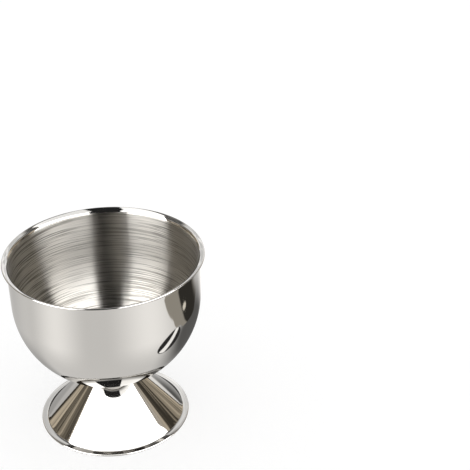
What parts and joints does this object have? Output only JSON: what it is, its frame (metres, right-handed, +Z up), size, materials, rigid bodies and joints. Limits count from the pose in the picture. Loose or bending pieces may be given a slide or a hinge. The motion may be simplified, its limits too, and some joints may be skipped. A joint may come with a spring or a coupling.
{
  "type": "egg cup",
  "caption": "Footed sheet-steel cup with an outward lip and a hollow conical foot that holds one boiled hen's egg upright on the table.",
  "frame": {"origin": "centre of the ring that stands on the table, in the plane of the table", "axes": "+Z up along the axis of the cup, from the foot to the mouth; the cup is round, so X and Y are free"},
  "size_m": [0.05, 0.05, 0.0477],
  "materials": {
    "bowl_steel": "mirror polish outside and on the lip, fine circular brushing inside",
    "foot_steel": "mirror polish outside, plain drawn finish inside the hollow",
    "weld_steel": "fused metal, hidden between the sheets"
  },
  "bodies": {
    "root": {"bowl": "bowl_steel", "foot": "foot_steel", "spot_weld": "weld_steel"}
  },
  "joints": []
}
